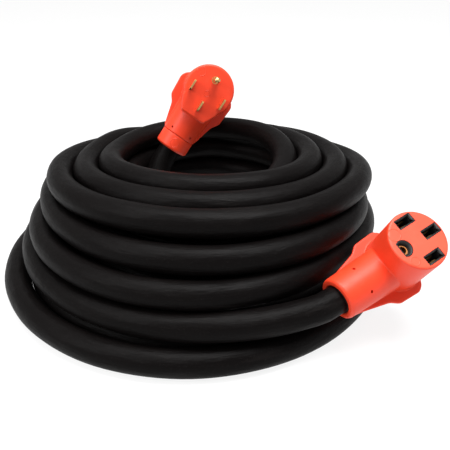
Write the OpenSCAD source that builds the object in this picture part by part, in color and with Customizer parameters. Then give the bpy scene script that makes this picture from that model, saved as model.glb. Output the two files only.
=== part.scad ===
// Fifty-amp shore power cord: a thick four-wire cable wound into a stacked coil,
// with a right-angle blade plug standing in the middle of it and a right-angle
// socket connector hovering at its front right corner. Millimetres, +Z up,
// origin at the centre of the footprint, on the floor.

/* [Cable] */
// Outside diameter of the cable jacket
cable_d = 25; // [23:0.5:26]
// Outside diameter of a power conductor's insulation
wire_d = 7.2; // [6.4:0.1:7.4]
// Outside diameter of the ground conductor's insulation
ground_wire_d = 6.2; // [5.4:0.1:6.8]
// Diameter of the copper in a power conductor
core_d = 4.6; // [3.8:0.1:5]
// Diameter of the copper in the ground conductor
ground_core_d = 3.8; // [3:0.1:4.2]

/* [Coil] */
// Radius of the loose bottom turn, to the middle of the cable
base_turn_r = 179; // [172:1:200]
// Outside radius of the upper rows
coil_r = 171; // [168:1:176]
// Outside radius of the top rows
coil_top_r = 167; // [150:1:168]
// Radius of the opening in the middle of the coil
hole_r = 84; // [74:1:88]
// Radius of that opening in the top row, where the plug's neck leans
mouth_r = 93; // [90:1:110]
// Height of one row of turns
row_h = 24.4; // [23:0.1:26]
// Depth that a turn flattens by where it bears on the floor or on a row
bearing_flat = 0.3; // [0.1:0.1:1]

/* [Moulded ends] */
// Distance from the neck's end to the middle of the line blades
neck_reach = 72; // [70:1:90]
// Radius of the moulded neck at the cable end
neck_r = 18.5; // [17.5:0.5:20]
// Radius of the neck where it runs into the head
neck_root_r = 20.5; // [20:0.5:22]
// Length of the separate collar round the plug's neck
collar_l = 17; // [12:1:18]
// Thickness of the finger-grip wings
wing_t = 3; // [2.4:0.2:4]
// Half the width across the wings
wing_half_w = 33.3; // [32:0.5:38]
// Radius of the plug's round head
plug_head_r = 27; // [26.5:0.5:30]
// Height of the plug's face over the cable's axis
plug_face_h = 28; // [27:0.5:34]
// Depth of the plug's back under the cable's axis
plug_back_h = 16; // [14:0.5:20]
// Radius of the connector's round head
connector_head_r = 26.3; // [26:0.1:32]
// Height of the connector's face over the cable's axis
connector_face_h = 42; // [41:0.5:48]
// Depth of the connector's back under the cable's axis
connector_back_h = 18; // [17:0.5:22]

/* [Contacts] */
// Distance between the two line blades
line_spacing = 36.4; // [35:0.1:36.6]
// Distance from the line blades' middle to the ground pin
ground_offset = 17.5; // [16.5:0.1:18]
// Distance from the line blades' middle to the neutral blade's middle
neutral_offset = 14; // [13.5:0.1:14.5]
// Width of a blade
blade_w = 12.1; // [11.5:0.1:12.6]
// Thickness of a blade
blade_t = 1.7; // [1.4:0.1:2]
// Length of a blade in front of the plug's face
blade_l = 22; // [18:0.5:26]
// Diameter of the ground pin
pin_d = 6.4; // [6:0.1:6.8]
// Length of the ground pin in front of the plug's face
pin_l = 25; // [20:0.5:30]
// Diameter of the ground pin's shank, inside the plug
pin_shank_d = 8; // [7.2:0.2:9]
// Radial clearance of the ground pin in its socket
pin_clear = 0.1; // [0.05:0.01:0.2]
// Wall of the ground socket's sleeve
sleeve_wall = 1.2; // [0.8:0.1:1.6]
// Thickness of a contact leaf
leaf_t = 1; // [0.8:0.1:1.2]
// Thickness of a contact's steel back-up spring
spring_t = 0.6; // [0.4:0.1:0.8]
// Wall of a crimp barrel
barrel_wall = 0.9; // [0.6:0.1:1.2]
// Width of an opening in the connector's face
slot_w = 13.5; // [13:0.1:14]
// Height of an opening in the connector's face
slot_h = 5.5; // [5:0.1:5.6]
// Widening of an opening towards the face, on each side
slot_bevel = 1.8; // [0.5:0.1:2.2]

/* [Hidden] */
$fn = 64;
cut = 60;
round_fn = 96;
cable_r = cable_d / 2;

// Where the two ends lie: the end of the neck, where the cable comes out, and
// the turn of the head, whose own axes are x across the line blades, y away
// from the cable and z out of the face.
plug_neck_at = [-40.992, 71.902, 101.622];
plug_turn = [74, 34, -4];
connector_neck_at = [113.526, -150.993, 49.371];
connector_turn = [15, 33, -48];

// Middle of each stack of turns on the floor
base_turn_at = [-13, 0];
coil_at = [3, 12];
hole_at = [-3, 12];
coil_rows = 5;
coil_h = coil_rows * row_h + bearing_flat;
// The bottom row of the coil lies against the inside of the loose base turn
foot_gap = 0.2;
coil_foot_r = base_turn_r - cable_r - norm(base_turn_at - coil_at) - foot_gap;
// The row above it is set back for the turn that runs on to the connector
coil_band_r = coil_r - 8;
base_z = cable_r - bearing_flat;
base_top = base_z + cable_r - bearing_flat;
band_top = base_top + cable_d + 0.6;
mouth_z = 88;
top_step_z = band_top + row_h;

// Depth of the jacket inside a moulded neck, from the head's middle
jacket_end = -40;
clamp_y = -50;
clamp_l = 6;
clamp_t = 1.2;
chamber_top = 9;
chamber_bottom = -9;
skin = 4;
barrel_l = 12;
// Where the four conductors leave the jacket, around the cable's axis
bundle_r = 5.2;
// Sideways place and height of the crimp barrels on the line side
line_x = line_spacing / 2;
barrel_x = line_x - 3.6;
barrel_z = 3;
// Way that a line conductor swings out to its barrel: share of it, at a place along the neck
swing = [[0.149, -32], [0.447, -27], [0.766, -21]];

// Conductor routes in a head's own axes, from the jacket's end to the barrel
line_route = concat(
    [[bundle_r, jacket_end, 0], [bundle_r, -37, 0]],
    [for (s = swing) [bundle_r + s[0] * (barrel_x - bundle_r), s[1], s[0] * barrel_z]],
    [[barrel_x, -16, barrel_z], [barrel_x, -14, barrel_z]]
);
short_route = [
    [0, jacket_end, bundle_r], [0, -37, bundle_r], [0, -32, 4.4], [0, -26, barrel_z],
    [0, -23, barrel_z]
];
long_route = [
    [0, jacket_end, -bundle_r], [0, -36, -bundle_r], [0, -20, -bundle_r],
    [0, -8, -bundle_r], [0, 4, -bundle_r]
];

// Free route of the cable from the plug's neck down into the coil
plug_tail_points = [
    [-56, 61, 76], [-60, 50, 66], [-62, 37, 54], [-63, 22, 44], [-63, 5, 35], [-62, -12, 28],
    [-58, -29, 23], [-51, -46, 19], [-40, -60, 16], [-27, -71, 14], [-13, -79, 13]
];
// Free route of the cable from the coil to the connector's neck
connector_tail_points = [
    [-150, -68, 37], [-142, -94, 37], [-125, -118, 37], [-102, -138, 37], [-75, -155, 37],
    [-45, -167, 38], [-13, -173, 38], [19, -175, 39], [52, -172, 42], [80, -166, 45]
];

// Turns point p about x, then y, then z by the angles in t
function turned(p, t) =
    let (
        a = [p.x, p.y * cos(t.x) - p.z * sin(t.x), p.y * sin(t.x) + p.z * cos(t.x)],
        b = [a.x * cos(t.y) + a.z * sin(t.y), a.y, -a.x * sin(t.y) + a.z * cos(t.y)]
    )
    [b.x * cos(t.z) - b.y * sin(t.z), b.x * sin(t.z) + b.y * cos(t.z), b.z];

// Point p of a head, in the row's frame
function head_point(at, turn, p) = at + turned(p, turn);

// The point on each neck's axis under the line blades
plug_at = head_point(plug_neck_at, plug_turn, [0, neck_reach, 0]);
connector_at = head_point(connector_neck_at, connector_turn, [0, neck_reach, 0]);

function unit(v) = v / norm(v);

// Direction of a route at point i
function heading(r, i) =
    unit(r[min(i + 1, len(r) - 1)] - r[max(i - 1, 0)]);

plug_tail = concat(
    [head_point(plug_at, plug_turn, [0, -neck_reach, 0]),
     head_point(plug_at, plug_turn, [0, -neck_reach - 18, 0])],
    plug_tail_points
);
connector_tail = concat(
    connector_tail_points,
    [head_point(connector_at, connector_turn, [0, -neck_reach - 12, 0]),
     head_point(connector_at, connector_turn, [0, -neck_reach, 0])]
);

// Solid swept along a route: a ring of corners across it at each point
module swept(route, r, sides) {
    rings = [
        for (i = [0 : len(route) - 1])
            let (t = heading(route, i), u = unit(cross(t, [0, 0, 1])), v = cross(u, t))
                for (k = [0 : sides - 1])
                    route[i] + r * (cos(360 * k / sides) * u + sin(360 * k / sides) * v)
    ];
    last = (len(route) - 1) * sides;
    walls = [
        for (i = [0 : len(route) - 2])
            for (k = [0 : sides - 1])
                let (a = i * sides + k, b = i * sides + (k + 1) % sides)
                    for (face = [[a, b, b + sides], [a, b + sides, a + sides]])
                        face
    ];
    first_cap = [for (k = [0 : sides - 1]) sides - 1 - k];
    last_cap = [for (k = [0 : sides - 1]) last + k];
    polyhedron(points = rings, faces = concat([first_cap], walls, [last_cap]));
}

module at_plug() translate(plug_at) rotate(plug_turn) children();

module at_connector() translate(connector_at) rotate(connector_turn) children();

// Cylinder along the cable's axis from y0 to y1
module along(y0, y1, r0, r1) {
    translate([0, y0, 0])
        rotate([-90, 0, 0])
            cylinder(h = y1 - y0, r1 = r0, r2 = r1, $fn = round_fn);
}

module mirror_pair() {
    children();
    mirror([1, 0, 0]) children();
}

// Flat finger-grip wings on both sides of a head, narrowing to the neck
module wings(z, tail_y, tail_half_w) {
    outline = [
        [0, 12], [24, 12], [30, 8], [wing_half_w, 2.5], [wing_half_w - 1.3, -20.4],
        [wing_half_w - 7, -28.2], [19.8, -54], [tail_half_w, tail_y], [0, tail_y]
    ];
    translate([0, 0, z - wing_t / 2])
        linear_extrude(wing_t)
            mirror_pair() polygon(outline);
}

// Outline of the raised block that carries the plug's face
module plug_block_outline() {
    translate([0, 5]) circle(r = plug_head_r, $fn = round_fn);
    polygon([[-14.6, -29.4], [14.6, -29.4], [23, -13.5], [23, 5], [-23, 5], [-23, -13.5]]);
}

// Outline of the rigid inner mouldings, which the blades or contacts stand in
module plug_insert_outline() {
    translate([0, 2]) circle(r = plug_head_r - 5, $fn = round_fn);
    translate([-8, -24]) square([16, 24]);
}

module connector_insert_outline() {
    translate([0, -1.2]) circle(r = connector_head_r - 3.3, $fn = round_fn);
}

// Space for the conductors between the jacket's end and the inner moulding
module wire_chamber() {
    translate([0, 0, chamber_bottom])
        linear_extrude(chamber_top - chamber_bottom)
            mirror_pair() polygon([[0, jacket_end], [10, jacket_end], [barrel_x - 1.1, -30],
                [barrel_x + 2.4, -22], [barrel_x + 4.9, -14], [barrel_x + 4.9, 0], [0, 0]]);
}

// Bore for the cable in a neck, with a groove for its clamp band
module cable_bore() {
    along(-neck_reach - 1, jacket_end, cable_r, cable_r);
    along(clamp_y - clamp_l / 2, clamp_y + clamp_l / 2, cable_r + clamp_t, cable_r + clamp_t);
}

module place_line_pair(x = line_x) {
    translate([x, 0, 0]) children();
    translate([-x, 0, 0]) children();
}

// Crimp barrel along y, open at both ends, from y0 away from the cable
module barrel(y0, z, core) {
    translate([0, 0, z]) {
        difference() {
            along(y0, y0 + barrel_l, core / 2 + barrel_wall, core / 2 + barrel_wall);
            along(y0 - 1, y0 + barrel_l + 1, core / 2, core / 2);
        }
    }
}

module plug_overmould() color("orangered") at_plug() {
    difference() {
        union() {
            along(-neck_reach + collar_l, -20, neck_r + 0.4, neck_root_r);
            along(-20, 0, neck_root_r, plug_back_h);
            translate([0, 0, -plug_back_h])
                linear_extrude(plug_back_h + plug_face_h) plug_block_outline();
            wings(-1.4, -54, 19.8);
        }
        translate([0, 0, chamber_bottom])
            linear_extrude(plug_face_h - skin - chamber_bottom) plug_insert_outline();
        wire_chamber();
        cable_bore();
        for (side = [-1, 1])
            translate([side * line_x - blade_t / 2, -blade_w / 2, 0])
                cube([blade_t, blade_w, plug_face_h + 1]);
        translate([-blade_t / 2, -neutral_offset - blade_w / 2, 0])
            cube([blade_t, blade_w, plug_face_h + 1]);
        translate([0, ground_offset, 0]) cylinder(h = plug_face_h + 1, d = pin_shank_d);
    }
}

module plug_collar() color("tomato") at_plug() {
    difference() {
        along(-neck_reach, -neck_reach + collar_l, neck_r, neck_r + 0.4);
        along(-neck_reach - 1, -neck_reach + collar_l + 1, cable_r, cable_r);
    }
}

module plug_insert() color("linen") at_plug() {
    difference() {
        translate([0, 0, chamber_top])
            linear_extrude(plug_face_h - skin - chamber_top) plug_insert_outline();
        for (side = [-1, 1])
            translate([side * line_x - blade_t / 2, -blade_w / 2, 0])
                cube([blade_t, blade_w, plug_face_h]);
        translate([-blade_t / 2, -neutral_offset - blade_w / 2, 0])
            cube([blade_t, blade_w, plug_face_h]);
        translate([0, ground_offset, 0]) cylinder(h = plug_face_h, d = pin_shank_d);
    }
}

module cord_clamp() {
    difference() {
        along(clamp_y - clamp_l / 2, clamp_y + clamp_l / 2, cable_r + clamp_t, cable_r + clamp_t);
        along(clamp_y - clamp_l, clamp_y + clamp_l, cable_r, cable_r);
    }
}

module plug_cord_clamp() color("silver") at_plug() cord_clamp();

module plug_cord_end() color("black") at_plug() {
    along(-neck_reach, jacket_end, cable_r, cable_r);
}

// Blade with its tip chamfered and its foot joined to a crimp barrel
module blade(barrel_dx, barrel_y) {
    tip = 2;
    foot = barrel_z;
    top = plug_face_h + blade_l;
    translate([-blade_t / 2, 0, 0])
        rotate([90, 0, 90])
            linear_extrude(blade_t)
                polygon([[-blade_w / 2, foot], [blade_w / 2, foot], [blade_w / 2, top - tip],
                    [blade_w / 2 - tip, top], [-blade_w / 2 + tip, top],
                    [-blade_w / 2, top - tip]]);
    translate([barrel_dx, barrel_y, 0]) barrel(0, barrel_z, core_d);
}

// Line blade: the barrel sits on the blade's inner side
module line_blade() {
    translate([line_x, 0, 0]) {
        blade(barrel_x - line_x, -14);
        translate([-1.2, -blade_w / 2, barrel_z + core_d / 2 + 0.1])
            cube([1.2, 8, barrel_wall]);
    }
}

module plug_line_blade_1() color("goldenrod") at_plug() line_blade();

module plug_line_blade_2() color("goldenrod") at_plug() mirror([1, 0, 0]) line_blade();

module plug_neutral_blade() color("goldenrod") at_plug() {
    top = plug_face_h + blade_l;
    tip = 2;
    foot = barrel_z + core_d / 2 + barrel_wall / 2;
    translate([-blade_t / 2, -neutral_offset, 0])
        rotate([90, 0, 90])
            linear_extrude(blade_t)
                polygon([[-blade_w / 2, foot], [blade_w / 2, foot], [blade_w / 2, top - tip],
                    [blade_w / 2 - tip, top], [-blade_w / 2 + tip, top],
                    [-blade_w / 2, top - tip]]);
    barrel(-21, barrel_z, core_d);
}

module plug_ground_pin() color("goldenrod") at_plug() {
    difference() {
        union() {
            translate([0, ground_offset, -6]) cylinder(h = plug_face_h + 6, d = pin_shank_d);
            translate([0, ground_offset, plug_face_h])
                cylinder(h = pin_l - pin_d / 2, d = pin_d);
            translate([0, ground_offset, plug_face_h + pin_l - pin_d / 2])
                sphere(d = pin_d);
            translate([0, 4, -bundle_r])
                along(0, barrel_l, ground_core_d / 2 + barrel_wall,
                    ground_core_d / 2 + barrel_wall);
        }
        translate([0, 4, -bundle_r]) along(-1, 8, ground_core_d / 2, ground_core_d / 2);
    }
}

module plug_line_wire_1() color("dimgray") at_plug() swept(line_route, wire_d / 2, 10);

module plug_line_wire_2() color("red") at_plug()
    mirror([1, 0, 0]) swept(line_route, wire_d / 2, 10);

module plug_neutral_wire() color("white") at_plug() swept(short_route, wire_d / 2, 10);

module plug_ground_wire() color("green") at_plug() swept(long_route, ground_wire_d / 2, 10);

// Bare copper ends, from the insulation into each crimp barrel
module plug_wire_cores() color("peru") at_plug() {
    mirror_pair()
        translate([barrel_x, 0, barrel_z]) along(-14, -4, core_d / 2, core_d / 2);
    translate([0, 0, barrel_z]) along(-23, -11, core_d / 2, core_d / 2);
    translate([0, 0, -bundle_r]) along(4, 12, ground_core_d / 2, ground_core_d / 2);
}

// Opening for a blade in the connector's face, widening outwards
module slot_cut() {
    depth = slot_bevel;
    top = connector_face_h;
    translate([-slot_h / 2, -slot_w / 2, 0]) cube([slot_h, slot_w, top + 1]);
    intersection() {
        rotate([90, 0, 0])
            translate([0, 0, -slot_w])
                linear_extrude(2 * slot_w)
                    polygon([[-slot_h / 2, top - depth], [slot_h / 2, top - depth],
                        [slot_h / 2 + slot_bevel, top], [slot_h / 2 + slot_bevel, top + 1],
                        [-slot_h / 2 - slot_bevel, top + 1], [-slot_h / 2 - slot_bevel, top]]);
        rotate([90, 0, 90])
            translate([0, 0, -slot_w])
                linear_extrude(2 * slot_w)
                    polygon([[-slot_w / 2, top - depth], [slot_w / 2, top - depth],
                        [slot_w / 2 + slot_bevel, top], [slot_w / 2 + slot_bevel, top + 1],
                        [-slot_w / 2 - slot_bevel, top + 1], [-slot_w / 2 - slot_bevel, top]]);
    }
}

// Round opening for the ground pin, cut flat on the cable's side
module ground_cut() {
    r = pin_d / 2 + 4.4;
    flat = r - 3.5;
    intersection() {
        cylinder(h = connector_face_h + 1, r = r);
        translate([-r, -flat, 0]) cube([2 * r, 2 * r, connector_face_h + 1]);
    }
}

module connector_overmould() color("orangered") at_connector() {
    difference() {
        union() {
            along(-neck_reach, -20, neck_r, neck_root_r);
            along(-20, 0, neck_root_r, connector_back_h);
            translate([0, -1.2, -connector_back_h])
                cylinder(h = connector_back_h + connector_face_h, r = connector_head_r,
                    $fn = round_fn);
            wings(-8.5, -neck_reach, neck_r - 2);
        }
        translate([0, 0, chamber_bottom])
            linear_extrude(connector_face_h - skin - chamber_bottom) connector_insert_outline();
        wire_chamber();
        cable_bore();
        place_line_pair() slot_cut();
        translate([0, neutral_offset, 0]) slot_cut();
        translate([0, -ground_offset, 0]) ground_cut();
    }
}

// Pocket that holds one folded contact and its spring
module contact_pocket() {
    translate([-slot_h / 2 - 0.6, -slot_w / 2 - 0.3, 0])
        cube([slot_h + 1.2, slot_w + 0.6, cut]);
}

module connector_insert() color("linen") at_connector() {
    difference() {
        translate([0, 0, chamber_top])
            linear_extrude(connector_face_h - skin - chamber_top) connector_insert_outline();
        place_line_pair() contact_pocket();
        translate([0, neutral_offset, 0]) contact_pocket();
        translate([0, -ground_offset, 0])
            cylinder(h = cut, r = pin_d / 2 + pin_clear + sleeve_wall);
    }
}

module connector_cord_clamp() color("silver") at_connector() cord_clamp();

module connector_cord_end() color("black") at_connector() {
    along(-neck_reach, jacket_end, cable_r, cable_r);
}

contact_l = 24;
leaf_gap = blade_t / 2;
web_z = chamber_top;

// Folded contact: two leaves on a web, which flare apart at their mouth
module contact_leaves() {
    g = leaf_gap;
    t = leaf_t;
    top = web_z + contact_l;
    rotate([90, 0, 0])
        translate([0, 0, -blade_w / 2 + 0.5])
            linear_extrude(blade_w - 1)
                polygon([[-g - t, web_z], [g + t, web_z], [g + t, top - 3], [g + t + 0.8, top],
                    [g + 0.8, top], [g, top - 3], [g, web_z + t], [-g, web_z + t],
                    [-g, top - 3], [-g - 0.8, top], [-g - t - 0.8, top], [-g - t, top - 3]]);
}

module line_contact() {
    translate([line_x, 0, 0]) contact_leaves();
    translate([barrel_x, 0, 0]) barrel(-14, barrel_z, core_d);
    translate([line_x - 2.5, -blade_w / 2 + 1, barrel_z + core_d / 2 + 0.1])
        cube([2.5, 7, web_z + leaf_t - barrel_z - core_d / 2 - 0.1]);
}

module connector_line_contact_1() color("darkgoldenrod") at_connector() line_contact();

module connector_line_contact_2() color("darkgoldenrod") at_connector()
    mirror([1, 0, 0]) line_contact();

module connector_neutral_contact() color("darkgoldenrod") at_connector() {
    translate([0, neutral_offset, 0]) contact_leaves();
    translate([0, 0, -bundle_r]) barrel(4, 0, core_d);
    translate([-1.5, neutral_offset - 5, -bundle_r + core_d / 2 + 0.1])
        cube([3, 7, web_z + leaf_t + bundle_r - core_d / 2 - 0.1]);
}

module connector_ground_socket() color("darkgoldenrod") at_connector() {
    sleeve_r = pin_d / 2 + pin_clear + sleeve_wall;
    difference() {
        union() {
            translate([0, -ground_offset, chamber_top])
                cylinder(h = connector_face_h - skin - chamber_top, r = sleeve_r);
            translate([0, 0, barrel_z])
                along(-21, -21 + barrel_l, ground_core_d / 2 + barrel_wall,
                    ground_core_d / 2 + barrel_wall);
            translate([-1.5, -21 + 1, barrel_z]) cube([3, 6, chamber_top + 1 - barrel_z]);
        }
        translate([0, -ground_offset, chamber_top + 1])
            cylinder(h = cut, r = pin_d / 2 + pin_clear);
        translate([0, 0, barrel_z]) along(-22, -11, ground_core_d / 2, ground_core_d / 2);
    }
}

// Steel back-up springs clipped over the leaves, one to each blade contact
module connector_contact_springs() color("lightsteelblue") at_connector() {
    inner = leaf_gap + leaf_t;
    outer = inner + spring_t;
    top = web_z + contact_l - 4;
    foot = web_z + 4;
    for (place = [[line_x, 0], [-line_x, 0], [0, neutral_offset]])
        translate([place.x, place.y, 0]) {
            for (side = [-1, 1])
                translate([side > 0 ? inner : -outer, -4, foot]) cube([spring_t, 8, top - foot]);
            translate([-outer, blade_w / 2 - 0.5, foot]) cube([2 * outer, spring_t, 6]);
            for (side = [-1, 1])
                translate([side > 0 ? inner : -outer, 3, foot])
                    cube([spring_t, blade_w / 2 - 3.4, 6]);
        }
}

module connector_line_wire_1() color("dimgray") at_connector()
    swept(line_route, wire_d / 2, 10);

module connector_line_wire_2() color("red") at_connector()
    mirror([1, 0, 0]) swept(line_route, wire_d / 2, 10);

module connector_neutral_wire() color("white") at_connector()
    swept(long_route, wire_d / 2, 10);

module connector_ground_wire() color("green") at_connector()
    swept(short_route, ground_wire_d / 2, 10);

module connector_wire_cores() color("peru") at_connector() {
    mirror_pair()
        translate([barrel_x, 0, barrel_z]) along(-14, -4, core_d / 2, core_d / 2);
    translate([0, 0, barrel_z])
        along(-23, -11, ground_core_d / 2, ground_core_d / 2);
    translate([0, 0, -bundle_r]) along(4, 14, core_d / 2, core_d / 2);
}

// Loose bottom turn, lying a little off the stack
module cord_base_turn() color("dimgray") {
    translate([base_turn_at.x, base_turn_at.y, 0])
        rotate_extrude($fn = round_fn)
            intersection() {
                translate([base_turn_r, base_z]) circle(r = cable_r);
                translate([0, 0]) square([2 * base_turn_r, base_top]);
            }
}

// Outer shape of the other turns, stacked round an open middle
module cord_coil() color("dimgray") {
    difference() {
        translate([coil_at.x, coil_at.y, 0])
            rotate_extrude($fn = round_fn)
                polygon([[hole_r - 10, 0], [coil_foot_r, 0], [coil_foot_r, base_top],
                    [coil_band_r, base_top], [coil_band_r, band_top], [coil_r, band_top],
                    [coil_r, top_step_z], [coil_top_r, top_step_z + 6],
                    [coil_top_r, coil_h - 8], [coil_top_r - 8, coil_h],
                    [hole_r - 10, coil_h]]);
        translate([hole_at.x, hole_at.y, -1]) cylinder(h = coil_h + 2, r = hole_r, $fn = round_fn);
        translate([hole_at.x, hole_at.y, mouth_z])
            cylinder(h = coil_h, r = mouth_r, $fn = round_fn);
    }
}

module cord_plug_tail() color("dimgray") swept(plug_tail, cable_r, 12);

module cord_connector_tail() color("dimgray") swept(connector_tail, cable_r, 12);

plug_overmould();
plug_collar();
plug_insert();
plug_cord_clamp();
plug_cord_end();
plug_line_blade_1();
plug_line_blade_2();
plug_neutral_blade();
plug_ground_pin();
plug_line_wire_1();
plug_line_wire_2();
plug_neutral_wire();
plug_ground_wire();
plug_wire_cores();
connector_overmould();
connector_insert();
connector_cord_clamp();
connector_cord_end();
connector_line_contact_1();
connector_line_contact_2();
connector_neutral_contact();
connector_ground_socket();
connector_contact_springs();
connector_line_wire_1();
connector_line_wire_2();
connector_neutral_wire();
connector_ground_wire();
connector_wire_cores();
cord_base_turn();
cord_coil();
cord_plug_tail();
cord_connector_tail();
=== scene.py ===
import bpy
import numpy as np
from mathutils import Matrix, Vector


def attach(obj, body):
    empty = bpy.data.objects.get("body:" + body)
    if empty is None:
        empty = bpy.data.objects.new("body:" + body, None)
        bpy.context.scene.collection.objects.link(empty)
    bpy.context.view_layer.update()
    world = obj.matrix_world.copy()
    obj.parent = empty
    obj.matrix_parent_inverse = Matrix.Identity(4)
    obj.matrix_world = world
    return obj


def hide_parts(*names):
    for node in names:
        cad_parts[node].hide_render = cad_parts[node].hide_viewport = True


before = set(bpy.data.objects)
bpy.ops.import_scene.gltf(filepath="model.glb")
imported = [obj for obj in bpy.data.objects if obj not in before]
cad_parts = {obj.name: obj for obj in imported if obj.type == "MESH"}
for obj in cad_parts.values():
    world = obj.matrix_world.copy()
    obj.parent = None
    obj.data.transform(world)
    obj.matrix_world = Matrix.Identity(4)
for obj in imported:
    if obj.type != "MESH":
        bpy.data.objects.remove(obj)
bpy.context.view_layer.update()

# ---------------------------------------------------------------------------
# The room: a pale floor, a bright even sky and three soft lamps, seen by a
# camera that stands a little over half a metre in front and looks down.
camera_place = (0.021, -0.533, 0.320)
camera_pitch = np.radians(62.3)
lens_mm, sensor_mm = 44.8, 36.0
nearest_seen = 0.01
camera = bpy.data.objects.new("camera", bpy.data.cameras.new("camera"))
camera.data.lens = lens_mm
camera.data.sensor_width = sensor_mm
camera.data.clip_start = nearest_seen
camera.location = camera_place
camera.rotation_euler = (camera_pitch, 0.0, 0.0)
bpy.context.scene.collection.objects.link(camera)
bpy.context.scene.camera = camera


class Flow:
    """A number or colour on its way through a shader: sums on a number add Math nodes."""

    def __init__(self, finish, socket):
        self.finish, self.socket = finish, socket

    def _sum(self, operation, first, second):
        return self.finish.node("Math", {"operation": operation}, {0: first, 1: second})

    def __add__(self, other):
        return self._sum("ADD", self, other)

    def __sub__(self, other):
        return self._sum("SUBTRACT", self, other)

    def __rsub__(self, other):
        return self._sum("SUBTRACT", other, self)

    def __mul__(self, other):
        return self._sum("MULTIPLY", self, other)

    __radd__, __rmul__ = __add__, __mul__


class Finish:
    """A material under construction: one Principled shader and the nodes that vary it."""

    def __init__(self, name, **constant):
        self.material = bpy.data.materials.new(name)
        self.material.use_nodes = True
        self.tree = self.material.node_tree
        self.tree.nodes.clear()
        self.shader = self.tree.nodes.new("ShaderNodeBsdfPrincipled")
        output = self.tree.nodes.new("ShaderNodeOutputMaterial")
        self.tree.links.new(self.shader.outputs[0], output.inputs[0])
        for socket, value in constant.items():
            self.shader.inputs[socket.replace("_", " ")].default_value = value
        self.place = self.node("TexCoord", {}, {}, "Object")

    def feed(self, socket, value):
        """Links a flow to a socket, or sets a plain value on it."""
        if isinstance(value, Flow):
            self.tree.links.new(value.socket, socket)
        else:
            socket.default_value = value

    def node(self, kind, settings, sockets, out=0):
        """One node of a kind, with its settings and then its sockets' values or links;
        gives the flow out of one of its outputs."""
        made = self.tree.nodes.new("ShaderNode" + kind)
        for key, value in settings.items():
            if key == "stops":
                ramp = made.color_ramp.elements
                while len(ramp) < len(value):
                    ramp.new(0.5)
                for stop, (where, shade) in zip(ramp, value):
                    stop.position, stop.color = where, shade
            else:
                setattr(made, key, value)
        for key, value in sockets.items():
            self.feed(made.inputs[key], value)
        return Flow(self, made.outputs[out])

    def noise(self, scale, detail=3.0, roughness=0.5, place=None):
        """Cloudy noise from 0 to 1, with the scale in lumps a metre."""
        return self.node("TexNoise", {}, {
            "Vector": place or self.place, "Scale": scale,
            "Detail": detail, "Roughness": roughness})

    def step(self, value, low, high):
        """Smooth rise from 0 to 1 while the value goes from low to high."""
        return self.node("MapRange", {"interpolation_type": "SMOOTHSTEP"}, {
            "Value": value, "From Min": low, "From Max": high})

    def blend(self, mask, first, second):
        """Colour that goes from the first to the second as the mask goes from 0 to 1."""
        return self.node("Mix", {"data_type": "RGBA"}, {
            0: mask, 6: first, 7: second}, 2)

    def bump(self, height, depth, strength):
        """Relief: the height, from 0 to 1, stands up by the depth in metres."""
        return self.node("Bump", {}, {
            "Height": height, "Distance": depth, "Strength": strength})

    def paint(self, **varying):
        """Feeds what varies into the shader and gives the finished material."""
        for socket, value in varying.items():
            self.feed(self.shader.inputs[socket.replace("_", " ")], value)
        return self.material


floor_reach = 6.0
floor_glow = 0.86
floor_mesh = bpy.data.meshes.new("floor")
floor_mesh.from_pydata(
    [(x * floor_reach, y * floor_reach, 0.0)
     for x, y in ((-1, -1), (1, -1), (1, 1), (-1, 1))], [], [(0, 1, 2, 3)])
floor = bpy.data.objects.new("floor", floor_mesh)
paper = Finish("pale_floor", Roughness=0.9, Specular_IOR_Level=0.1,
               Emission_Color=(1.0, 1.0, 1.0, 1.0), Emission_Strength=floor_glow)
floor_mesh.materials.append(paper.paint(Base_Color=paper.blend(
    paper.noise(3.0), (0.16, 0.16, 0.16, 1), (0.18, 0.18, 0.18, 1))))
bpy.context.scene.collection.objects.link(floor)

sky_strength = 0.5
sky = bpy.data.worlds.new("sky")
sky.use_nodes = True
sky_light = sky.node_tree.nodes["Background"]
sky_light.inputs["Color"].default_value = (1.0, 1.0, 1.0, 1.0)
sky_light.inputs["Strength"].default_value = sky_strength
bpy.context.scene.world = sky
bpy.context.scene.view_settings.view_transform = "Standard"


def soft_lamp(name, place, target, size, power):
    """Square lamp at a place, turned so that it faces the target."""
    lamp = bpy.data.objects.new(name, bpy.data.lights.new(name, "AREA"))
    lamp.data.size, lamp.data.energy = size, power
    lamp.location = place
    away = lamp.location - Vector(target)
    lamp.rotation_euler = away.to_track_quat("Z", "Y").to_euler()
    bpy.context.scene.collection.objects.link(lamp)


coil_heart = (0.0, 0.0, 0.1)
soft_lamp("key_lamp", (0.35, -0.2, 1.5), coil_heart, size=0.6, power=20.0)
soft_lamp("top_lamp", (-0.2, 0.0, 1.6), coil_heart, size=0.9, power=18.0)
soft_lamp("left_lamp", (-0.9, -0.6, 0.9), coil_heart, size=0.5, power=7.0)

# ---------------------------------------------------------------------------
# The two moulded heads are placed first, because the cable runs between their
# necks. A head's own axes are x across the line blades, y away from the cable
# and z out of the face; its origin is on the neck's axis under the blades.


def turn_matrix(degrees):
    """Turn about x, then y, then z by three angles in degrees."""
    a, b, c = np.radians(degrees)
    about_x = [[1, 0, 0], [0, np.cos(a), -np.sin(a)], [0, np.sin(a), np.cos(a)]]
    about_y = [[np.cos(b), 0, np.sin(b)], [0, 1, 0], [-np.sin(b), 0, np.cos(b)]]
    about_z = [[np.cos(c), -np.sin(c), 0], [np.sin(c), np.cos(c), 0], [0, 0, 1]]
    return np.array(about_z) @ np.array(about_y) @ np.array(about_x)


class Head:
    """Where a moulded head stands: takes points on its own axes to the row's frame."""

    def __init__(self, place, degrees):
        self.place = np.array(place)
        self.turn = turn_matrix(degrees)

    def __call__(self, points):
        return self.place + np.asarray(points, float) @ self.turn.T


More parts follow.
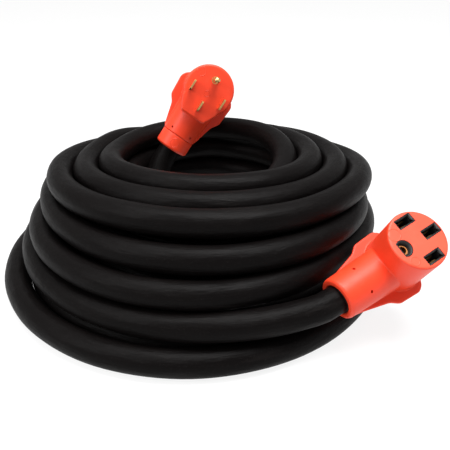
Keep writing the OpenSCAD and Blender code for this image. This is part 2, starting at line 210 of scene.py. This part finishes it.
plug_head = Head((-0.001, 0.089, 0.159), (74, 34, -4))
connector_head = Head((0.172, -0.112, 0.065), (15, 33, -48))
neck_reach = 0.072

# ---------------------------------------------------------------------------
# The cable: four stranded conductors in one round black rubber jacket, 25 mm
# thick and about 13.7 m long. It leaves the plug's neck, runs down into the
# middle of the coil, winds out and up through fifteen turns, drops to one
# loose turn on the floor and climbs over one more to the connector's neck.
cable_d = 0.025
coil_centre = np.array([0.003, 0.012])
stations = 72  # points a turn

# One row a turn, from the plug outwards, in millimetres: the distance from the coil's
# middle at eight azimuths, 45 degrees apart from the right, then the height at the
# same eight.
turns = np.array([
    (92, 96, 104, 110, 112, 109, 102, 95, 12.5, 12.5, 12.5, 12.5, 12.5, 12.5, 12.5, 12.5),
    (115, 120, 129, 136, 138, 136, 130, 120, 12.5, 12.5, 12.5, 12.5, 12.5, 12.5, 12.5, 12.5),
    (139, 143, 154, 166, 179, 180, 174, 159, 12.5, 12.5, 12.5, 12.5, 12.5, 12.5, 12.5, 12.5),
    (142, 153, 163, 159, 150, 149, 149, 150, 37, 36, 35, 36, 37, 37, 37, 37),
    (118, 129, 138, 134, 125, 122, 121, 117, 37, 36, 35, 36, 37, 37, 37, 37),
    (92, 104, 113, 109, 100, 96, 95, 91, 37, 36, 35, 36, 37, 37, 37, 37),
    (88, 96, 104, 103, 97, 94, 92, 88, 61, 58.5, 57, 58.5, 61, 61.5, 61, 61.5),
    (112, 121, 129, 128, 122, 120, 118, 113, 61, 58.5, 57, 58.5, 61, 61.5, 61, 61.5),
    (99, 102, 106, 107, 104, 104, 104, 101, 86, 83.5, 81, 79, 85, 86, 86, 86.5),
    (79, 88, 97, 105, 97, 88, 80, 77, 110, 118, 113, 100, 88, 86, 93, 101),
    (106, 116, 128, 108, 100, 91, 87, 95, 112, 107, 98, 101, 113, 117, 118, 115),
    (132, 143, 152, 132, 126, 117, 112, 120, 107, 98, 89, 93, 108, 112, 113, 110),
    (156, 163, 176, 156, 152, 144, 140, 147, 100, 77, 77, 91, 104, 109, 110, 107),
    (151, 155, 157, 172, 158, 157, 158, 159, 78, 59, 58, 68, 82, 84, 85, 84),
    (158, 163, 166, 172, 171, 174, 175, 168, 56, 40, 36, 50, 60, 61, 61, 61),
    (172, 174, 179, 189, 198, 205, 199, 177, 12.5, 12.5, 12.5, 12.5, 12.5, 12.5, 12.5, 12.5),
    (172, 176, 182, 182, 178, 184, 184, 183, 34, 38, 41, 39, 37, 37, 37, 37)]) / 1000
# Each turn passes to the next at the back left, over a long shallow slope;
# the last two pass at the right, where the cable drops to the floor and rises.
change_at = np.full(len(turns) - 1, 480.0)
change_span = np.full(len(turns) - 1, 100.0)
change_at[-2:] = 440.0, 400.0
change_span[-2:] = 110.0, 90.0
# Azimuth in degrees, then distance from the coil's middle and height in
# millimetres, on the way out of the plug's neck and into the connector's.
plug_way = np.array([
    (126.3, 74.3, 101.6), (130.3, 76, 94.4), (134.2, 76.8, 87.6), (140, 76.3, 77),
    (147, 73.5, 66.5), (155, 70, 57), (166, 66, 46), (179, 65, 37.5), (192, 66, 31),
    (205, 69, 25.5), (230, 79, 17.5), (255, 92, 13.5), (280, 99, 12.5)])
connector_way = np.array([
    (262, 183, 36.5), (272, 184, 37.5), (284.3, 188.5, 40.5), (293.4, 193.5, 44.2),
    (300.7, 196.8, 46.8), (304.1, 197, 49.4)])
connector_way[:, 0] += 360 * (len(turns) - 1)
first_azimuth, last_azimuth = 130, 302 + 360 * (len(turns) - 1)


def eased(x):
    """Smooth step from 0 to 1."""
    x = np.clip(x, 0, 1)
    return x * x * (3 - 2 * x)


def turn_shape(azimuth):
    """Every turn's distance and height at each azimuth: the sum of the waves, up to
    four a turn, that together meet the eight given values."""
    waves = np.fft.rfft(turns.reshape(len(turns), 2, 8), axis=2) / 8
    share = np.array([1, 2, 2, 2, 1])
    turning = np.exp(1j * np.arange(5)[:, None] * azimuth)
    shape = np.einsum("tvk,k,ka->tva", waves, share, turning).real
    return shape[:, 0], shape[:, 1]


def first_route():
    """Azimuth, distance and height along the whole cable before it settles: each
    turn's shape, eased into the next, with the two ends led to their necks."""
    degrees = np.arange(first_azimuth, last_azimuth, 360 / stations)
    distance, height = turn_shape(np.radians(degrees))
    turn_start = change_at + 360 * np.arange(len(turns) - 1)
    passed = eased((degrees[:, None] - turn_start + change_span / 2) / change_span).sum(1)
    low = np.floor(passed).astype(int)
    high = np.minimum(low + 1, len(turns) - 1)
    share = passed - low
    at = np.arange(len(degrees))
    r = distance[low, at] * (1 - share) + distance[high, at] * share
    z = height[low, at] * (1 - share) + height[high, at] * share
    plug_led = 1 - eased((degrees - 240) / 50)
    connector_led = eased((degrees - connector_way[0, 0]) / 12)
    for way, led in ((plug_way, plug_led), (connector_way, connector_led)):
        r = r * (1 - led) + np.interp(degrees, way[:, 0], way[:, 1] / 1000) * led
        z = z * (1 - led) + np.interp(degrees, way[:, 0], way[:, 2] / 1000) * led
    # Where the plug leans, at 135 degrees, the rows below nest and lie up to 7% lower.
    nested = 0.07 * np.exp(-((np.mod(degrees, 360) - 135) / 38) ** 2) * (degrees > 360)
    z = z - nested * (z - cable_d / 2)
    loose = ((degrees > 150) & (degrees < connector_way[0, 0]))[1:-1]
    even_rounds = 12
    for _ in range(even_rounds):
        r[1:-1] += np.where(loose, (r[:-2] - 2 * r[1:-1] + r[2:]) / 4, 0)
        z[1:-1] += np.where(loose, (z[:-2] - 2 * z[1:-1] + z[2:]) / 4, 0)
    return degrees, r, z


def in_space(degrees, r, z):
    """Points in the row's frame, from azimuth, distance and height."""
    a = np.radians(degrees)
    return np.stack([coil_centre[0] + r * np.cos(a), coil_centre[1] + r * np.sin(a), z], -1)


def rods(head, wing_height):
    """A head's neck and wing edges as thin rods, with the distance that the middle
    of the cable keeps from each: half its thickness and half the rod's."""
    from_wing = cable_d / 2 + 0.0022
    from_neck = cable_d / 2 + 0.0195
    for side in (-1, 1):
        edge = head([[side * 0.0333, 0.0025, wing_height],
                     [side * 0.032, -0.0204, wing_height],
                     [side * 0.0198, -0.054, wing_height]])
        yield edge[0], edge[1], from_wing
        yield edge[1], edge[2], from_wing
    neck = head([[0, -neck_reach, 0], [0, 0, 0]])
    yield neck[0], neck[1], from_neck


obstacles = [*rods(plug_head, -0.0014), *rods(connector_head, -0.0085)]


def clear_of_heads(degrees, r, z, free):
    """Moves each free station outwards or inwards, whichever it already is, until
    the cable clears the heads."""
    here = in_space(degrees, r, z)
    for start, end, gap in obstacles:
        along = end - start
        share = np.clip((here - start) @ along / (along @ along), 0, 1)
        away = here - start - share[:, None] * along
        far = np.linalg.norm(away, axis=1)
        short = np.where(free, np.maximum(gap - far, 0), 0)
        radial = np.stack([np.cos(np.radians(degrees)), np.sin(np.radians(degrees))], -1)
        outward = np.sign((away[:, :2] * radial).sum(1))
        r = r + short * outward
    return r, z


def settled(degrees, r, z):
    """The turns pushed apart where they would run into one another, evened out along
    the cable and held near their first places, less and less, until they only touch."""
    count, rows = len(r), int(np.ceil(len(r) / stations))
    spare = rows * stations - count
    far = 10.0 + np.arange(spare)  # fills the last row, well out of the way
    aim_r, aim_z = r.copy(), z.copy()
    free = (degrees > 200) & (degrees < connector_way[-3, 0])
    own = np.arange(rows)
    for rounds, pull, stiff in ((400, 0.02, 1.0), (400, 0.005, 0.5), (400, 0.0, 0.15)):
        for _ in range(rounds):
            radii = np.concatenate([r, far]).reshape(rows, stations)
            heights = np.concatenate([z, far]).reshape(rows, stations)
            across = radii[:, None] - radii[None]
            up = heights[:, None] - heights[None]
            gap = np.hypot(across, up) + 1e-9
            press = np.maximum(cable_d - gap, 0)
            press[own, own] = 0
            touching = np.sqrt(np.maximum((press > 0).sum(1), 1))
            push_r = ((press * across / gap).sum(1) * 0.5 / touching).ravel()[:count]
            push_z = ((press * up / gap).sum(1) * 0.5 / touching).ravel()[:count]
            even = []
            for value in (r, z):
                bend = np.zeros(count)
                bend[2:-2] = (-value[:-4] + 4 * value[1:-3] - 6 * value[2:-2]
                              + 4 * value[3:-1] - value[4:]) / 16
                bend[1:-1] += 0.05 * (value[:-2] - 2 * value[1:-1] + value[2:])
                even.append(bend * stiff)
            r = r + np.where(free, push_r + even[0] + pull * (aim_r - r), 0)
            z = z + np.where(free, push_z + even[1] + pull * (aim_z - z), 0)
            r, z = clear_of_heads(degrees, r, z, free)
            z = np.maximum(z, cable_d / 2)
    return r, z


def refined(points):
    """Twice as many points, on the smooth cubic through the given ones."""
    before, after = points[:-3], points[3:]
    middle = (9 * (points[1:-2] + points[2:-1]) - before - after) / 16
    ends = (points[0] + points[1]) / 2, (points[-2] + points[-1]) / 2
    middle = np.concatenate([[ends[0]], middle, [ends[1]]])
    woven = np.empty((2 * len(points) - 1, 3))
    woven[0::2], woven[1::2] = points, middle
    return woven


def tube_rings(path, radius, sides):
    """Rings across a path: a frame is carried along it without twist, as the sum of the
    small turns between its steps, and a circle of the radius is drawn on each."""
    ahead = np.gradient(path, axis=0)
    ahead /= np.linalg.norm(ahead, axis=1)[:, None]
    side = np.cross(ahead, [0.0, 0.0, 1.0])
    side /= np.linalg.norm(side, axis=1)[:, None]
    over = np.cross(side, ahead)
    angle = np.arange(sides) * 2 * np.pi / sides
    circle = side[:, None] * np.cos(angle)[:, None] + over[:, None] * np.sin(angle)[:, None]
    return path[:, None] + radius * circle, angle


def grid_mesh(name, *grids, loop=False):
    """Mesh of grids of points, each wrapped round in its second direction and facing
    outwards; a fan closes each of its two ends, or a loop joins them to each other."""
    points, faces, base = [], [], 0
    for grid in grids:
        rows, sides = grid.shape[:2]
        row, side = np.meshgrid(np.arange(rows if loop else rows - 1), np.arange(sides),
                                indexing="ij")
        after = (row + 1) % rows * sides + base
        here, turn = row * sides + base, (side + 1) % sides
        faces += np.stack([here + side, here + turn, after + turn, after + side],
                          -1).reshape(-1, 4).tolist()
        points.append(grid.reshape(-1, 3))
        base += rows * sides
        if not loop:
            points.append([grid[0].mean(0), grid[-1].mean(0)])
            this, beside = np.arange(sides), np.roll(np.arange(sides), -1)
            first, last = base - rows * sides, base - sides
            hubs = np.full(sides, base), np.full(sides, base + 1)
            faces += np.stack([first + beside, first + this, hubs[0]], -1).tolist()
            faces += np.stack([last + this, last + beside, hubs[1]], -1).tolist()
            base += 2
    mesh = bpy.data.meshes.new(name)
    mesh.from_pydata(np.concatenate(points).tolist(), [], faces)
    mesh.validate()
    mesh.polygons.foreach_set("use_smooth", np.ones(len(mesh.polygons), bool))
    return mesh


def shown(name, mesh, material):
    """Puts a finished mesh into the scene as a piece that rides with the object."""
    made = bpy.data.objects.new(name, mesh)
    mesh.materials.append(material)
    bpy.context.scene.collection.objects.link(made)
    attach(made, "root")
    return made


degrees, r, z = first_route()
r, z = settled(degrees, r, z)
neck_end = plug_head([0, -neck_reach, 0])
in_neck = 0.006
inside, outside = -neck_reach + in_neck, -neck_reach - in_neck
route = np.concatenate([plug_head([[0, inside, 0], [0, outside, 0]]),
                        in_space(degrees, r, z)[1:], [connector_head([0, inside, 0])]])
cable_path = refined(route)
step = np.linalg.norm(np.diff(cable_path, axis=0), axis=1)
run = np.concatenate([[0.0], np.cumsum(step)])

rings, angle = tube_rings(cable_path, cable_d / 2, 32)
# The four twisted conductors show through the jacket as a very shallow swell.
lay_length, swell_height, conductors = 0.38, 0.00012, 4
twist = 2 * np.pi * run[:, None] / lay_length
swell = swell_height * np.cos(conductors * (angle[None] - twist))
centre = cable_path[:, None]
rings = centre + (rings - centre) * (1 + swell[..., None] / (cable_d / 2))
cable_mesh = grid_mesh("cord", rings)
straight = np.stack(np.broadcast_arrays(
    cable_d / 2 * np.cos(angle)[None], cable_d / 2 * np.sin(angle)[None], run[:, None]), -1)
straight = np.concatenate([straight.reshape(-1, 3), [[0, 0, 0], [0, 0, run[-1]]]])
laid_out = cable_mesh.attributes.new("laid_out", "FLOAT_VECTOR", "POINT")
laid_out.data.foreach_set("vector", straight.astype(np.float32).ravel())

rubber = Finish("black_rubber_jacket", IOR=1.4, Specular_IOR_Level=0.09)
along_cable = rubber.node("Attribute", {"attribute_name": "laid_out"}, {}, "Vector")
stretched = rubber.node("Mapping", {}, {"Vector": along_cable, "Scale": (1.0, 1.0, 0.12)})
streaks = rubber.noise(420.0, 4.0, 0.6, stretched)
blotches = rubber.noise(28.0, 3.0, 0.5, along_cable)
dust = rubber.step(rubber.noise(900.0, 2.0, 0.5, along_cable), 0.58, 0.75)
scuffs = rubber.step(rubber.noise(70.0, 5.0, 0.65, stretched), 0.58, 0.72)
black = rubber.blend(blotches, (0.0018, 0.0013, 0.0013, 1), (0.0034, 0.0026, 0.0025, 1))
black = rubber.blend(scuffs * 0.35, black, (0.013, 0.011, 0.0105, 1))
black = rubber.blend(dust * 0.2, black, (0.03, 0.027, 0.026, 1))
grain = rubber.noise(1600.0, 2.0, 0.6, along_cable)
ripples = rubber.noise(75.0, 3.0, 0.55, rubber.node(
    "Mapping", {}, {"Vector": along_cable, "Scale": (1.0, 1.0, 0.45)}))
jacket = rubber.paint(
    Base_Color=black,
    Roughness=0.36 + 0.2 * streaks + 0.12 * scuffs,
    Normal=rubber.bump(ripples + streaks * 0.25 + grain * 0.08, 0.0016, 0.8))
cord = shown("cord", cable_mesh, jacket)
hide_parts("cord_coil", "cord_base_turn", "cord_plug_tail", "cord_connector_tail")

# ---------------------------------------------------------------------------
# The plug's moulded body: orange-red vinyl injected over the contacts and the
# cable's end. A round head with a drafted block under it, two flat finger
# wings along the sides and a round neck, all run into one another.


def soft_outline(corners, radius, steps=5):
    """Closed outline whose every corner is a parabola that starts and ends one radius
    from it, or half an edge if that is shorter."""
    here = np.array(corners, float)[:, None]
    t = np.linspace(0, 1, steps)[None, :, None]
    reach = []
    for shift in (1, -1):
        edge = np.roll(here, shift, 0) - here
        length = np.linalg.norm(edge, axis=2)[..., None]
        reach.append(here + edge * np.minimum(radius / length, 0.49))
    curve = (1 - t) ** 2 * reach[0] + 2 * t * (1 - t) * here + t ** 2 * reach[1]
    return curve.reshape(-1, 2)


def soft_edge(low, high, radius, draft=0.0):
    """Inset and height up a body's side: a quarter circle, a wall that leans in by the
    draft, a quarter circle."""
    a = np.radians(np.arange(0, 91, 22.5))
    foot = np.stack([radius * (1 - np.sin(a)), low + radius * (1 - np.cos(a))], -1)
    brow = np.stack([draft + radius * (1 - np.cos(a)), high - radius * (1 - np.sin(a))], -1)
    return np.concatenate([foot, brow])


def pad(outline, profile):
    """Rings of a flat body: the outline moved inwards along its normals by each inset of
    the profile, at the profile's height."""
    edge = np.roll(outline, -1, 0) - np.roll(outline, 1, 0)
    inwards = np.stack([-edge[:, 1], edge[:, 0]], -1) / np.linalg.norm(edge, axis=1)[:, None]
    flat = outline[None] + profile[:, :1, None] * inwards[None]
    height = np.broadcast_to(profile[:, 1:, None], flat.shape[:2] + (1,))
    return np.concatenate([flat, height], -1)


round_sides = 96


def disc_outline(centre, radius, sides=round_sides):
    """Circle in points evenly turned about its centre."""
    a = np.arange(sides) * 2 * np.pi / sides
    return np.stack([centre[0] + radius * np.cos(a), centre[1] + radius * np.sin(a)], -1)


def round_neck(places):
    """Rings about the cable's axis, one for each pair of place and radius."""
    place, radius = np.array(places).T[..., None]
    a = np.arange(round_sides) * 2 * np.pi / round_sides
    return np.stack([radius * np.cos(a), place + 0 * a, -radius * np.sin(a)], -1)


def wing_outline(*tail):
    """Both finger wings as one plate, from the head back along the neck: one side's
    corners, with any more of the tail, and their mirror image, all eased."""
    half = [(24, 12), (30, 8), (33.3, 2.5), (32, -20.4), (26.3, -28.2), (19.8, -54), *tail]
    return soft_outline([(-x, y) for x, y in half] + [(x, y) for x, y in half[::-1]], 2.5)


def moulded(name, head, bodies, hollows, grain=0.0006, rounds=3):
    """One skin over overlapping bodies given in millimetres on a head's axes, with every
    inner and outer corner eased, and then the hollows cut out of it."""
    solid, tool = (
        bpy.data.objects.new(part, grid_mesh(part, *(head(g / 1000) for g in grids)))
        for part, grids in ((name, bodies), (name + "_hollows", hollows)))
    for made in (solid, tool):
        bpy.context.scene.collection.objects.link(made)
    skin = solid.modifiers.new("one_skin", "REMESH")
    skin.mode, skin.voxel_size, skin.use_smooth_shade = "VOXEL", grain, True
    ease = solid.modifiers.new("eased_corners", "SMOOTH")
    ease.factor, ease.iterations = 0.5, rounds
    cut = solid.modifiers.new("openings", "BOOLEAN")
    cut.operation, cut.solver, cut.object = "DIFFERENCE", "EXACT", tool
    ready = solid.evaluated_get(bpy.context.evaluated_depsgraph_get())
    mesh = bpy.data.meshes.new_from_object(ready)
    mesh.materials.clear()
    mesh.set_sharp_from_angle(angle=np.radians(50))
    for made in (solid, tool):
        bpy.data.objects.remove(made)
    mesh.name = name
    return mesh


def red_vinyl(name, head, marks, face=None):
    """Orange-red moulded vinyl, with fine ridges round the marks and rubbed, dusty spots.
    A mark is its middle on the head's axes, its radius and the ridge's width. Above the
    face's height the skin is painted paler: a painted highlight for the light that falls
    full on the face."""
    vinyl = Finish(name, IOR=1.5, Specular_IOR_Level=0.32)
    flow = vinyl.noise(38.0, 4.0, 0.55)
    grain = vinyl.noise(1500.0, 3.0, 0.6)
    specks = vinyl.step(vinyl.noise(420.0, 3.0, 0.6), 0.66, 0.78)
    rubbed = vinyl.step(vinyl.noise(60.0, 4.0, 0.7), 0.55, 0.75)
    red = vinyl.blend(flow, (0.76, 0.046, 0.014, 1), (0.86, 0.058, 0.02, 1))
    red = vinyl.blend(rubbed * 0.25, red, (0.9, 0.1, 0.05, 1))
    red = vinyl.blend(specks * 0.3, red, (0.35, 0.02, 0.01, 1))
    if face:
        # Above the face's height the vinyl is blended paler: a painted highlight where the
        # light falls full on the face.
        height = vinyl.node("VectorMath", {"operation": "DOT_PRODUCT"}, {
            0: vinyl.place, 1: tuple(head.turn[:, 2])}, "Value")
        start = float(head.place @ head.turn[:, 2])
        painted_face_highlight = vinyl.step(height, start + (face - 0.8) / 1000, start + (face - 0.1) / 1000)
        red = vinyl.blend(painted_face_highlight * (0.18 + 0.15 * flow), red, (0.95, 0.19, 0.12, 1))
    relief = grain * 0.12 + flow * 0.3
    for middle, radius, width in marks:
        far = vinyl.node("VectorMath", {"operation": "DISTANCE"}, {
            0: vinyl.place, 1: tuple(head(np.array(middle) / 1000))}, "Value")
        inner = vinyl.step(far, (radius - width) / 1000, radius / 1000)
        outer = vinyl.step(far, radius / 1000, (radius + width) / 1000)
        relief = relief + (inner - outer) * 1.1
    return vinyl.paint(
        Base_Color=red,
        Roughness=0.36 + 0.12 * flow + 0.10 * rubbed,
        Normal=vinyl.bump(relief, 0.00035, 0.7))


plug_back, plug_face = -16.0, 28.0
vent = disc_outline((11.6, -49.7), 1.2, 20)
vent_depth = np.array([(0.0, 11.0), (0.0, 22.0)])
vents = [pad(vent, vent_depth), pad(vent * (-1, 1), vent_depth)[:, ::-1]]
plug_skin = moulded(
    "plug_body", plug_head,
    [pad(disc_outline((0, 5), 27), soft_edge(plug_back, plug_face, 2.2)),
     pad(soft_outline([(-23, 6), (-23, -13.5), (-14.6, -29.4), (14.6, -29.4), (23, -13.5),
                       (23, 6)], 2.5), soft_edge(plug_back, plug_face, 1.6, 1.2)),
     pad(wing_outline(), soft_edge(-2.9, 0.1, 0.9)),
     round_neck([(-54.9, 18.1), (-54.5, 19.1), (-38, 19.7), (-20, 20.5), (-10, 20),
                 (0, 16)])],
    vents)
plug_vinyl = red_vinyl("plug_red_vinyl", plug_head, [
    ((0, 1, plug_face), 3.2, 0.5), ((-17, 17, plug_face), 4.6, 0.5)])
plug_body = shown("plug_body", plug_skin, plug_vinyl)
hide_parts("plug_overmould")

# ---------------------------------------------------------------------------
# The collar round the cable end of the plug's neck: the same vinyl, moulded
# as a plain band; a fine seam shows where the body was moulded against it.
cable_socket = [(-73, 14.6), (-71.2, 12.9), (-67, 12.3)]
collar_mesh = moulded(
    "plug_collar_band", plug_head,
    [round_neck([(-72, 15.2), (-71.6, 17.2), (-70.6, 18.3), (-69.5, 18.6), (-56, 18.7),
                 (-55.2, 18.5), (-54.9, 18.1), (-54.4, 15)])],
    [round_neck(cable_socket)], grain=0.0005, rounds=2)
collar_vinyl = red_vinyl("collar_red_vinyl", plug_head, [((0, -63, 18.8), 5.0, 0.4)])
collar = shown("plug_collar_band", collar_mesh, collar_vinyl)
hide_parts("plug_collar")

# ---------------------------------------------------------------------------
# The connector's moulded body: the same vinyl over the contact block. A tall
# round head, two finger wings that run the whole length of the neck, and the
# face's four openings, in which the black block shows.
connector_face = 42.0
connector_head_r = 26.1
line_x, neutral_y, ground_y = 18.2, 14.0, -17.5
slot_places = [(-line_x, 0.0), (line_x, 0.0), (0.0, neutral_y)]
slot_half = np.array([4.6, 9.1])
ground_opening_r, ground_flat = 7.6, 4.1


def slot_outline(centre):
    """A blade opening's four corners about its centre, each eased by a little."""
    corners = centre + slot_half * [(-1, -1), (1, -1), (1, 1), (-1, 1)]
    return soft_outline(corners, 0.8, 4)


def ground_outline():
    """Circle about the ground opening's middle, cut flat on the cable's side."""
    outline = disc_outline((0.0, 0.0), ground_opening_r, 48)
    outline[:, 1] = np.maximum(outline[:, 1], -ground_flat)
    return outline + (0.0, ground_y)


deep = np.array([(0.0, 24.0), (0.0, 43.0)])
connector_skin = moulded(
    "connector_body", connector_head,
    [pad(disc_outline((0, -1.2), connector_head_r), soft_edge(-18.0, connector_face, 1.5)),
     pad(wing_outline((16.5, -71.5)), soft_edge(-10.0, -7.0, 0.9)),
     round_neck([(-72, 15.6), (-71.8, 17.0), (-70.8, 18.2), (-69.6, 18.6), (-60, 18.9),
                 (-20, 20.5), (-10, 20.2), (0, 18)])],
    [*(pad(slot_outline(at), deep) for at in slot_places), pad(ground_outline(), deep),
     *vents, round_neck([(-73, 14.8), (-71.0, 12.9), (-67, 12.3)])])
connector_vinyl = red_vinyl("connector_red_vinyl", connector_head, [
    ((13.1, -17.2, connector_face), 3.8, 0.5),
    ((-13.1, -16.5, connector_face), 5.5, 0.5)], connector_face)
connector_body = shown("connector_body", connector_skin, connector_vinyl)
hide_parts("connector_overmould")

# ---------------------------------------------------------------------------
# The mouths of the connector's openings: the black contact block comes up into
# each one and funnels the blade in, with a bevel round a straight-sided slot.
funnel = np.array([(0.1, 24.5), (0.1, 41.5), (0.4, 41.8), (0.7, 41.7), (1.8, 39.8),
                   (1.9, 24.5)])


def mouth(outline, wall=1.0):
    """Rings of a hollow liner, as many times thicker as the wall says: out of the block,
    over its lip and down the funnel."""
    return connector_head(pad(outline, funnel * (wall, 1.0)) / 1000)


mouths = [*(mouth(slot_outline(at)) for at in slot_places), mouth(ground_outline(), 1.5)]
moulding = Finish("black_moulding", IOR=1.5, Specular_IOR_Level=0.35)
cast = moulding.noise(300.0)
black_moulding = moulding.paint(
    Base_Color=moulding.blend(cast, (0.008, 0.007, 0.007, 1), (0.02, 0.017, 0.016, 1)),
    Roughness=0.4 + 0.2 * cast,
    Normal=moulding.bump(cast, 0.0002, 0.4))
liner = shown("opening_mouths", grid_mesh("opening_mouths", *mouths, loop=True),
              black_moulding)

# ---------------------------------------------------------------------------
# The pieces inside and the contacts, as modelled: each gets its own metal,
# moulding, insulation or wire.


def metal(name, dark, light, roughness, streak=90.0):
    """Bare metal: tone and roughness wander, and a fine drawn grain shows in the shine."""
    made = Finish(name, Metallic=1.0)
    tone = made.noise(streak, 4.0, 0.6)
    grain = made.noise(2200.0, 2.0, 0.5)
    return made.paint(
        Base_Color=made.blend(tone, (*dark, 1), (*light, 1)),
        Roughness=roughness + 0.14 * tone,
        Normal=made.bump(grain, 0.00004, 0.5))


def plastic(name, dark, light, roughness):
    """Moulded or extruded plastic: faint flow marks in colour, shine and relief."""
    made = Finish(name, IOR=1.5, Specular_IOR_Level=0.4)
    tone = made.noise(120.0, 4.0, 0.6)
    return made.paint(
        Base_Color=made.blend(tone, (*dark, 1), (*light, 1)),
        Roughness=roughness + 0.12 * tone,
        Normal=made.bump(tone, 0.0002, 0.4))


brass = metal("drawn_brass", (0.66, 0.40, 0.13), (0.86, 0.60, 0.26), 0.22)
# The contacts get a much darker brass than the blades: painted shade for the deep openings
# they sit in.
shaded_contacts_metal = metal("contacts_metal_painted_shade", (0.10, 0.055, 0.02), (0.22, 0.13, 0.05), 0.45)
sleeve_brass = metal("turned_sleeve_brass", (0.40, 0.14, 0.04), (0.62, 0.26, 0.09), 0.35)
# The first of these that a node's name holds is its finish.
finishes = {
    "clamp": metal("clamp_steel", (0.46, 0.46, 0.47), (0.62, 0.62, 0.63), 0.3),
    "springs": metal("spring_steel", (0.36, 0.36, 0.38), (0.5, 0.5, 0.52), 0.25),
    "cores": metal("stranded_copper", (0.62, 0.25, 0.12), (0.86, 0.42, 0.24), 0.3, 400.0),
    "blade": brass,
    "pin": brass,
    "contact": shaded_contacts_metal,
    "socket": sleeve_brass,
    "insert": plastic("contact_block", (0.01, 0.009, 0.009), (0.022, 0.02, 0.02), 0.45),
    "cord_end": plastic("jacket_end", (0.008, 0.007, 0.007), (0.02, 0.019, 0.019), 0.5),
    "line_wire_1": plastic("black_insulation", (0.01, 0.01, 0.01), (0.025, 0.025, 0.025),
                           0.4),
    "line_wire_2": plastic("red_insulation", (0.5, 0.02, 0.015), (0.62, 0.04, 0.03), 0.4),
    "neutral_wire": plastic("white_insulation", (0.72, 0.71, 0.68), (0.8, 0.79, 0.77), 0.4),
    "ground_wire": plastic("green_insulation", (0.02, 0.24, 0.06), (0.03, 0.34, 0.09), 0.4),
}
for name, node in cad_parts.items():
    for key, finish in finishes.items():
        if key in name:
            node.data.materials.clear()
            node.data.materials.append(finish)
            break

tuple(neck_end)
